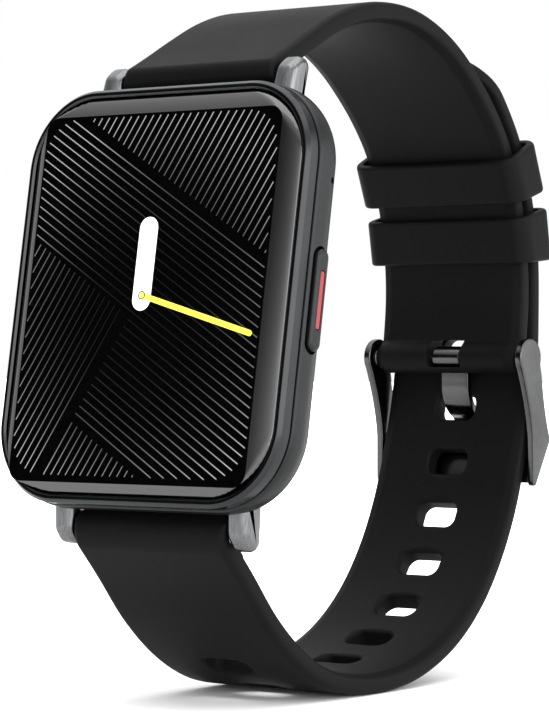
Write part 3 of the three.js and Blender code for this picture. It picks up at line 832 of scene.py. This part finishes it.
def back_of_case():
    inside = CASE_BACK - 0.15
    rim = -1.3
    profile = [(rim - 0.1, inside), (rim, inside - 0.1), (rim, BACK_FACE + 0.5)]
    for step in range(1, 7):
        angle = step / 6 * math.pi / 2
        profile.append((rim - 0.45 * (1 - math.cos(angle)), BACK_FACE + 0.5 - 0.5 * math.sin(angle)))
    verts, faces = swept(profile, loop=False)
    cover = build("back_cover_fine", verts, faces, PLASTIC, HEAD, sharp=30)
    holes = [peg(WINDOW_R + 0.15, BACK_FACE - 1, inside + 1, 0, 0, 96)]
    holes += [peg(1.4, BACK_FACE - 1, inside + 1, x, v) for x, v in CONTACTS]
    for x, v in SCREWS.values():
        holes += [peg(1.05, BACK_FACE - 1, BACK_FACE + 0.9, x, v), peg(0.6, BACK_FACE, inside + 1, x, v)]
    carve(cover, holes, sharp=30)
    settle(cover, "case", "dark_plastic", "back_cover")

    rim_n = BACK_FACE + 0.35
    points = [(inside + 0.1, 0.01), (inside + 0.1, WINDOW_R - 0.1), (inside, WINDOW_R), (rim_n, WINDOW_R)]
    steps = 16
    for step in range(1, steps + 1):
        angle = step / steps * math.pi / 2
        n = rim_n - (rim_n - DOME_TOP) * math.sin(angle) ** 1.15
        points.append((n, max(WINDOW_R * math.cos(angle) ** 0.8, 0.01)))
    window = build("sensor_window_fine", *standing(points, 96), LENS, HEAD, sharp=30)
    settle(window, "case", "lens", "sensor_window")

    for name, (x, v) in zip(("left", "right"), CONTACTS):
        top = BACK_FACE + 0.1
        points = [(CASE_BACK + 0.35, 1.3), (top + 0.12, 1.3), (top + 0.04, 1.26), (top, 1.18), (top, 0.55),
                  (top + 0.1, 0.4), (top + 0.12, 0.01)]
        contact = build(f"charging_contact_{name}_fine", *standing(points, 48, (x, v)), GOLD, HEAD)
        settle(contact, "case", "gold_plate", f"charging_contact_{name}")


# ---------------------------------------------------------------- button


def button():
    outline = [(BUTTON_V + a, BUTTON_N + b) for a, b in pill(BUTTON_L, BUTTON_W, 20)]
    cap = build("button_cap_fine", *slab(outline, 18.15, 19.3, 0.34, 6), CASE_METAL, HEAD, sharp=40)
    groove = [(BUTTON_V + a, BUTTON_N + b) for a, b in pill(6.1, 0.75, 16)]
    carve(cap, [slab(groove, 18.9, 20, 0.02)], sharp=40)
    settle(cap, "button", "case_metal", "button_cap")
    bar = [(BUTTON_V + a, BUTTON_N + b) for a, b in pill(5.9, 0.6, 16)]
    inlay = build("button_inlay_fine", *slab(bar, 18.95, 19.32, 0.08), RED, HEAD, sharp=40)
    settle(inlay, "button", "red_inlay", "button_inlay")


# ---------------------------------------------------------------- band

OUTER_ROUND = 0.75
INNER_SLOPE = 1.25
INNER_DROP = 0.42
TIP_SHRINK = 1.182  # how far in from the rim, in tip lengths, the rows of the tip would meet
SIDE_STATIONS = (0.0, 0.04, 0.12, 0.24, 0.4, 0.6, 0.8, 1.0, 1.25, 1.5, 2.0)


def outer_cut(distance):
    """How much lower the outer face is at that distance from the band's edge."""
    near = max(OUTER_ROUND - distance, 0.0)
    return OUTER_ROUND - dome(near, OUTER_ROUND)


def inner_cut(distance):
    """The inner face slopes away near the edge, and rounds off at it."""
    slope = INNER_DROP * max(1 - distance / INNER_SLOPE, 0.0)
    near = max(0.3 - distance, 0.0)
    return slope + 0.3 - dome(near, 0.3)


def band_piece(path, half_at, upper, lower, stations_s, tip_at=None):
    """A strap from its two faces' heights over the path. U-shaped rows run down one edge, round the
    tip and back up the other, from the rim of the band in to its middle line."""
    rows = []
    for distance in [*SIDE_STATIONS, 4.0, 6.5, None]:
        row = []
        for s, side in band_walk(stations_s, tip_at):
            row.append(band_point(half_at(s), s, side, distance))
        rows.append((distance, row))
    count = len(rows[0][1])

    def lifted(row, distance, top):
        ring = []
        for x, s in row:
            full = upper(s) - lower(s)
            ease = min(full / 2.2, 1.0)
            reach = 99.0 if distance is None else distance
            if top:
                height = upper(s) - outer_cut(reach) * ease
            else:
                height = lower(s) + inner_cut(reach) * ease
            y, z = path.place(s, height)
            ring.append((x * band_scale(y), y, z))
        return ring

    layers = [lifted(row, distance, False) for distance, row in reversed(rows)]
    layers += [lifted(row, distance, True) for distance, row in rows]
    verts = [point for layer in layers for point in layer]
    faces = []
    for i in range(len(layers) - 1):
        for k in range(count - 1):
            faces.append((i * count + k, i * count + k + 1, (i + 1) * count + k + 1, (i + 1) * count + k))
    left_end = [i * count for i in range(len(layers))]
    right_end = [i * count + count - 1 for i in reversed(range(len(layers)))]
    faces.append(tuple(left_end + right_end))
    return outward(verts, faces)


def band_walk(stations_s, tip_at):
    """Stations down the left edge, round the tip, and back up the right edge."""
    left = [(s, ("straight", -1)) for s in stations_s]
    right = [(s, ("straight", 1)) for s in reversed(stations_s)]
    if tip_at is None:
        return left + right
    turns = 36
    around = [(tip_at, ("tip", -math.pi / 2 + k / turns * math.pi)) for k in range(1, turns)]
    return left + around + right


def band_point(half, s, side, distance):
    """Place across and along the band at that distance from its rim, or on its middle line for None."""
    kind, value = side
    if distance is None:
        return 0.0, s
    if kind == "straight":
        return value * (half - min(distance, half)), s
    x = half * math.sin(value)
    along = TIP_LENGTH * math.cos(value)
    normal = Vector((math.sin(value) / half, math.cos(value) / TIP_LENGTH)).normalized()
    in_rim = min(distance, SIDE_STATIONS[-1])
    share = 1 - (distance - in_rim) / (TIP_LENGTH * TIP_SHRINK)
    return (x - normal.x * in_rim) * share, s + (along - normal.y * in_rim) * share


def spread(low, high, step):
    count = max(1, round((high - low) / step))
    return [low + (high - low) * k / count for k in range(count + 1)]


KNUCKLE_R = 1.7
KNUCKLE_END = 0.75


def bar_on_path(path, bar):
    """How far along the path the spring bar is, and how high over it."""
    start, along, normal = path.axes(0)
    offset = Vector((bar.y, bar.z)) - start
    return offset.dot(along), offset.dot(normal)


def strap_heights(path, bar, start_t, end_t, wrap_at=None, nose=(KNUCKLE_R, KNUCKLE_R, 2)):
    """Heights of a strap's faces along its path. The nose in front of the bar has a length, a height
    and the power that squares it off."""
    bar_s, bar_h = bar_on_path(path, bar)
    nose_length, nose_height, nose_power = nose
    front = bar_s - nose_length
    front_h = bar_h + 0.25

    def thickness(s):
        return start_t + (end_t - start_t) * min(max(s / path.length, 0.0), 1.0)

    def upper(s):
        height = thickness(s) / 2
        if s < KNUCKLE_END:
            share = min(max((s - front) / (KNUCKLE_END - front), 0.0), 1.0)
            height = front_h + (height - front_h) * math.sin(share * math.pi / 2) ** 0.62
        if wrap_at is not None:
            swell = dome(s - wrap_at, WRAP_R) + WRAP_H
            height = wrapped(s, height, swell, 0.5)
        return height

    def lower(s):
        plain = thickness(s) / 2
        if s < bar_s:
            share = min((bar_s - s) / nose_length, 1.0)
            plain = nose_height * (1 - share ** nose_power) ** (1 / nose_power) - bar_h
        elif s < bar_s + KNUCKLE_R + 1.0:
            swell = dome(s - bar_s, KNUCKLE_R) * nose_height / KNUCKLE_R - bar_h
            plain = smooth_max(plain, swell, 0.8)
        if wrap_at is not None:
            swell = dome(s - wrap_at, WRAP_R) - WRAP_H
            plain = wrapped(s, plain, swell, 0.9)
        return -plain

    def wrapped(s, height, swell, soft):
        if s < wrap_at - WRAP_R - 3:
            return height
        return smooth_max(height, swell, soft) if s < wrap_at else swell

    return front, upper, lower


WRAP_R = 1.85
WRAP_H = -0.2


def on_path(path, s, verts):
    """Places (across, along, out) points at arc length s of a path."""
    point, along, normal = path.axes(s)
    placed = []
    for x, a, h in verts:
        spot = point + along * a + normal * h
        placed.append((x, spot.x, spot.y))
    return placed


HOLE_SOFT = 0.32


def hole_cutter(path, s, thickness, scale):
    """A slot with flared mouths, so that the strap's hole has soft edges on both faces."""
    outline = rounded_rect(HOLE_W, HOLE_L, 1.1, 8)
    normals = normals_of(outline)
    half = thickness / 2
    levels = [(half + 0.5, HOLE_SOFT * 2.2)]
    for step in range(6):
        angle = (1 - step / 5) * math.radians(66)
        levels.append((half - HOLE_SOFT * (1 - math.sin(angle)), HOLE_SOFT * (1 - math.cos(angle))))
    levels += [(-height, flare) for height, flare in reversed(levels)]
    rings = []
    for height, flare in levels:
        flat = inset(outline, normals, -flare)
        rings.append(on_path(path, s, [(x * scale, a, height) for x, a in flat]))
    return loft(rings)


def bore(middle, reach, radius):
    return turned([(-reach, radius), (reach, radius)], 40, (middle.y, middle.z))


def buckle_strap():
    path = STRAP_PATH
    end = path.length
    front, upper, lower = strap_heights(path, BAR_TOP, STRAP_T, STRAP_T - 0.1, end)
    stations = spread(front + 0.002, 0.9, 0.11) + spread(1.1, 4.2, 0.22) + spread(5, end - 6, 1.0)
    stations += spread(end - 5.6, end - 2.4, 0.4) + spread(end - 2.2, end, 0.2)
    stations += [end + WRAP_R * math.sin(k / 14 * math.pi / 2) for k in range(1, 15)]
    verts, faces = band_piece(path, lambda s: wrap_half(s, end), upper, lower, stations)
    strap = build("strap_buckle_half_fine", verts, faces, SILICONE, sharp=50)
    slot = slot_cutter(-2.05, 1.1, PIVOT.y - 3.2)
    way_out = slot_cutter(0.6, 4.0, PIVOT.y - 0.2)
    carve(strap, [slot, way_out, bore(PIVOT, 12, 0.8), bore(BAR_TOP, 11, 0.85)], sharp=50)
    settle(strap, "band", "silicone", "strap_buckle_half")


def slot_cutter(above, below, front):
    """Room for the tongue in the looped end, between two heights under the pin's middle."""
    half = TONGUE_W / 2 + 0.45
    outline = fillet([(-half, above), (half, above), (half, below), (-half, below)], 0.35, 4)
    return loft([[(x, y, PIVOT.z - a) for x, a in outline] for y in (front, PIVOT.y + 3.2)])


def wrap_half(s, end):
    """The looped end narrows a little as it rounds off."""
    past = max(s - (end - 0.6), 0.0)
    return BAND_HALF - 0.9 * (1 - math.sqrt(max(1 - (past / (WRAP_R + 0.62)) ** 2, 0.0)))


def tail_strap():
    path = TAIL_PATH
    tip_at = path.length - TIP_LENGTH
    front, upper, lower = strap_heights(path, BAR_BOTTOM, TAIL_T, TAIL_TIP_T, nose=(1.8, 2.1, 4))
    stations = spread(front + 0.002, 0.9, 0.11) + spread(1.1, 4.2, 0.22) + spread(5, tip_at, 0.95)
    verts, faces = band_piece(path, lambda s: BAND_HALF, upper, lower, stations, tip_at)
    strap = build("strap_tail_half_fine", verts, faces, SILICONE, sharp=50)
    holes = []
    for i in range(HOLE_COUNT):
        s = ENGAGED_AT + (i - ENGAGED_HOLE) * HOLE_PITCH
        thickness = TAIL_T + (TAIL_TIP_T - TAIL_T) * s / path.length
        holes.append(hole_cutter(path, s, thickness, band_scale(path.at(s)[0].x)))
    carve(strap, [merge(*holes), bore(BAR_BOTTOM, 11, 0.85)], sharp=50)
    settle(strap, "band", "silicone", "strap_tail_half")


def keepers():
    """Two soft loops that ride on the round stretch of the band."""
    low = ARC_R - STRAP_T / 2 - KEEPER_GAP
    high = ARC_R + STACK_PITCH + TAIL_T / 2 - 0.2 + KEEPER_GAP
    half = BAND_HALF * BACK_TAPER + 0.35 + KEEPER_GAP
    middle = (low + high) / 2
    inner = rounded_rect(2 * half, high - low, 0.8, 12, (0, middle))
    outer = rounded_rect(2 * (half + KEEPER_WALL), high - low + 2 * KEEPER_WALL, 2.1, 12, (0, middle))
    reach = KEEPER_HALF_ANGLE * middle
    profile = fillet([(0, -reach), (1, -reach), (1, reach), (0, reach)], [0.2, 0.62, 0.62, 0.2], 7)
    for name, degrees in KEEPER_ANGLES.items():
        rings = []
        for a, b in zip(inner, outer):
            ring = []
            for depth, along in profile:
                x = a[0] + (b[0] - a[0]) * depth
                radius = a[1] + (b[1] - a[1]) * depth
                angle = math.radians(degrees) + along / middle
                ring.append((x, *towards((ARC_Y, ARC_Z), angle, radius)))
            rings.append(ring)
        loop = build(f"{name}_fine", *loft(rings, loop=True), SILICONE, sharp=60)
        body = "upper_keeper" if name == "keeper_upper" else "lower_keeper"
        settle(loop, body, "silicone", name)


# ---------------------------------------------------------------- buckle


def quadratic(start, control, end):
    a, b, c = Vector(start), Vector(control), Vector(end)
    return [tuple((1 - t) ** 2 * a + 2 * t * (1 - t) * b + t * t * c)
            for t in [k / 12 for k in range(1, 13)]]


def arm_outline():
    eye = (PIVOT.y, PIVOT.z)
    outline = [towards(eye, math.radians(-20 + 235 * step / 32), 2.2) for step in range(33)]
    outline += quadratic(outline[-1], (22.9, -7.0), (23.3, -10.6))
    outline += [(23.3, -15.5), (23.38, -15.85), (23.62, -16.05), (23.95, -16.0), (26.9, -11.05),
                (27.0, -10.85), (26.95, -10.6)]
    outline += quadratic(outline[-1], (25.9, -8.2), (25.2, -3.4))
    return outline


def buckle():
    arm = arm_outline()
    parts = [slab(arm, -ARM_OUT, -ARM_IN, 0.2, 5), slab(arm, ARM_IN, ARM_OUT, 0.2, 5)]
    for side in (-1, 1):
        points = [(side * (ARM_IN + 0.25), 1.2), (side * (ARM_IN - 0.12), 1.2),
                  (side * (ARM_IN - 0.2), 1.12), (side * (ARM_IN - 0.2), 0.8)]
        parts.append(turned(points, 48, (PIVOT.y, PIVOT.z)))
    arms = build("buckle_arms_fine", *merge(*parts), BUCKLE_METAL, sharp=40)
    settle(arms, "buckle", "buckle_metal", "buckle_frame")

    bar = fillet([(25.2, -11.0), (26.35, -10.2), (26.9, -10.9), (23.9, -15.9), (23.8, -15.2)],
                 [0.3, 0.3, 0.3, 0.25, 0.25], 5)
    reach = ARM_IN + 0.1
    cross_bar = build("buckle_cross_bar", *slab(bar, -reach, reach, 0.05), BUCKLE_METAL, sharp=40)
    seat = fillet([(26.4, -9.5), (28.5, -9.5), (28.5, -12.3), (25.95, -12.3)], 0.1, 3)
    carve(cross_bar, [slab(seat, -TONGUE_W / 2 - 0.35, TONGUE_W / 2 + 0.35, 0.05)], sharp=40)
    settle(cross_bar, "buckle", "buckle_metal")

    pin = [(-ARM_OUT + 0.08, 0.5), (-ARM_OUT + 0.14, 0.66), (-ARM_OUT + 0.25, 0.72)]
    points = pin + [(-x, radius) for x, radius in reversed(pin)]
    rod = build("buckle_pin_fine", *turned(points, 48, (PIVOT.y, PIVOT.z)), STEEL, sharp=40)
    settle(rod, "band", "steel", "buckle_pin")


def tongue():
    """One strip of metal, curled round the pin and dipping through the engaged hole."""
    curl_r = 1.07
    thin = 0.52
    centre = Vector((PIVOT.y, PIVOT.z))
    middle = []
    widths = []
    for step in range(37):
        angle = math.radians(244 - 244 * step / 36)
        middle.append(centre + Vector((math.cos(angle), math.sin(angle))) * curl_r)
        widths.append(thin)
    strip_path = Path([(23.87, -1.3), (23.9, -2.6), (23.92, -4.0), (24.0, -5.3), (24.5, -6.6), (25.4, -7.6),
                       (26.3, -8.2), (27.15, -9.6), (26.7, -11.7)], 1)
    for step in range(1, 49):
        s = step / 48 * strip_path.length
        middle.append(strip_path.at(s)[0])
        widths.append(min(thin + 0.06 * step, 0.85))
    left = []
    right = []
    for i, point in enumerate(middle):
        along = (middle[min(i + 1, len(middle) - 1)] - middle[max(i - 1, 0)]).normalized()
        normal = along.orthogonal()
        left.append(tuple(point + normal * widths[i] / 2))
        right.append(tuple(point - normal * widths[i] / 2))
    outline = left + right[::-1]
    blade = build("buckle_tongue_fine", *slab(outline, -TONGUE_W / 2, TONGUE_W / 2, 0.12, 4),
                  BUCKLE_METAL, sharp=40)
    settle(blade, "tongue", "buckle_metal", "buckle_tongue")


# ---------------------------------------------------------------- camera, lights and floor


def stage():
    camera_data = bpy.data.cameras.new("camera")
    camera_data.lens = 151.9
    camera_data.sensor_width = 36
    camera_data.clip_start = 0.01
    camera = bpy.data.objects.new("camera", camera_data)
    camera.location = (0.1981, -0.2731, -0.0002)
    camera.rotation_euler = (math.radians(89.78), 0, math.radians(37.13))
    scene.collection.objects.link(camera)
    scene.camera = camera


def direction(azimuth, elevation):
    """A unit vector at that azimuth (0 is -Y, 90 is +X) and elevation, in degrees."""
    a = math.radians(azimuth)
    e = math.radians(elevation)
    return Vector((math.sin(a) * math.cos(e), -math.cos(a) * math.cos(e), math.sin(e)))


def softbox(name, azimuth, elevation, distance, size, radiance):
    """A square area light that faces the object from that azimuth and elevation."""
    data = bpy.data.lights.new(name, "AREA")
    data.shape = "RECTANGLE"
    data.size = size
    data.size_y = size
    data.energy = radiance * math.pi * size * size
    light = bpy.data.objects.new(name, data)
    out = direction(azimuth, elevation)
    light.location = out * distance
    light.rotation_euler = (-out).to_track_quat("-Z", "Y").to_euler()
    light.visible_camera = False
    scene.collection.objects.link(light)


# Soft panels of light round the object: azimuth, elevation, degrees from their middle to where they
# end and to where they are brightest, half height as a share of the distance, brightness.
PANELS = (
    (74, 8, 97, 8, 0.42, 5.0),
    (37, 84, 66, 30, 1.5, 2.2),
    (-112, 18, 56, 26, 0.6, 1.0),
    (150, 10, 80, 40, 1.5, 0.4),
)
ROOM_GREY = 0.003


def studio():
    """White to the camera, and a dark room with soft panels of light to everything else."""
    world = bpy.data.worlds.new("studio")
    scene.world = world
    world.use_nodes = True
    tree = world.node_tree
    where = node(tree, "TexCoord", {}).outputs["Generated"]

    def along(axis):
        return node(tree, "VectorMath", {0: where, 1: axis}, operation="DOT_PRODUCT").outputs["Value"]

    total = ROOM_GREY
    for azimuth, elevation, outer, inner, height, brightness in PANELS:
        lit = node(tree, "MapRange", {
            "Value": along(direction(azimuth, elevation)),
            "From Min": math.cos(math.radians(outer)),
            "From Max": math.cos(math.radians(inner)),
            "To Max": brightness,
        })
        level = node(tree, "Math", {0: along(direction(azimuth, elevation + 90))}, operation="ABSOLUTE")
        window = node(tree, "MapRange", {
            "Value": level.outputs["Value"],
            "From Min": height,
            "From Max": height * 0.6,
        })
        panel = node(tree, "Math", {0: lit.outputs["Result"], 1: window.outputs["Result"]},
                     operation="MULTIPLY")
        total = node(tree, "Math", {0: panel.outputs["Value"], 1: total}, operation="ADD").outputs["Value"]
    background = tree.nodes["Background"]
    feed(tree, background, {"Color": (1, 1, 1, 1), "Strength": total})
    seen = node(tree, "Background", {"Color": (1, 1, 1, 1)})
    to_camera = node(tree, "LightPath", {}).outputs["Is Camera Ray"]
    pick = node(tree, "MixShader", {
        "Fac": to_camera,
        1: background.outputs["Background"],
        2: seen.outputs["Background"],
    })
    tree.links.new(pick.outputs["Shader"], tree.nodes["World Output"].inputs["Surface"])
    softbox("top_box", 60, 82, 0.7, 0.9, 1.2)


FLOOR_SIZE = 2.5


def floor():
    """A pale floor that glows white away from the band and not near it, so round the band it shows painted
    shade as well as the shadow it takes.
    """
    work = bmesh.new()
    bmesh.ops.create_grid(work, x_segments=8, y_segments=8, size=FLOOR_SIZE)
    mesh = bpy.data.meshes.new("floor")
    work.to_mesh(mesh)
    work.free()
    ground = bpy.data.objects.new("floor", mesh)
    ground.location.z = cad_box[0].z
    scene.collection.objects.link(ground)
    material, tree, shader = new_surface("floor_look")
    where = node(tree, "TexCoord", {}).outputs["Object"]
    away = node(tree, "VectorMath", {0: where}, operation="LENGTH").outputs["Value"]
    # Painted shade: the floor's glow is nil near the band and rises away from it, which darkens the floor
    # round the band.
    fade = node(tree, "MapRange", {"Value": away, "From Min": 0.03, "From Max": 0.25, "To Max": 1.1},
                interpolation_type="SMOOTHSTEP")
    to_camera = node(tree, "LightPath", {}).outputs["Is Camera Ray"]
    dim = node(tree, "MapRange", {"Value": to_camera, "To Min": 0.3})
    glow = node(tree, "Math", {0: fade.outputs["Result"], 1: dim.outputs["Result"]}, operation="MULTIPLY")
    feed(tree, shader, {
        "Base Color": (0.92, 0.92, 0.92, 1),
        "Roughness": 0.9,
        "Specular IOR Level": 0.1,
        "Emission Color": (1, 1, 1, 1),
        "Emission Strength": glow.outputs["Value"],
    })
    mesh.materials.append(material)


# ---------------------------------------------------------------- everything in order

cover_glass()
dial_lines()
hands()
front_bezel()
case_frame()
lugs()
back_of_case()
button()
buckle_strap()
tail_strap()
keepers()
buckle()
tongue()

dress(["spring_bar_top", "spring_bar_bottom", "release_pin_top", "release_pin_bottom",
       "release_spring_top", "release_spring_bottom", "button_switch", "microphone",
       "vibration_motor"], STEEL)
dress([f"back_screw_{corner}" for corner in SCREWS], SCREW_STEEL)
dress(["glass_gasket", "back_gasket", "button_seal"], RUBBER)
dress(["display_panel", "speaker"], PLASTIC)
dress(["main_board", "sensor_board"], BOARD)
dress(["battery"], FOIL)
dress(["charging_magnet_left", "charging_magnet_right"], MAGNET)
dress(["photodiode_top", "photodiode_bottom"], LENS)
dress(["sensor_led"], LED)

stage()
studio()
floor()
scene.view_settings.view_transform = "Standard"
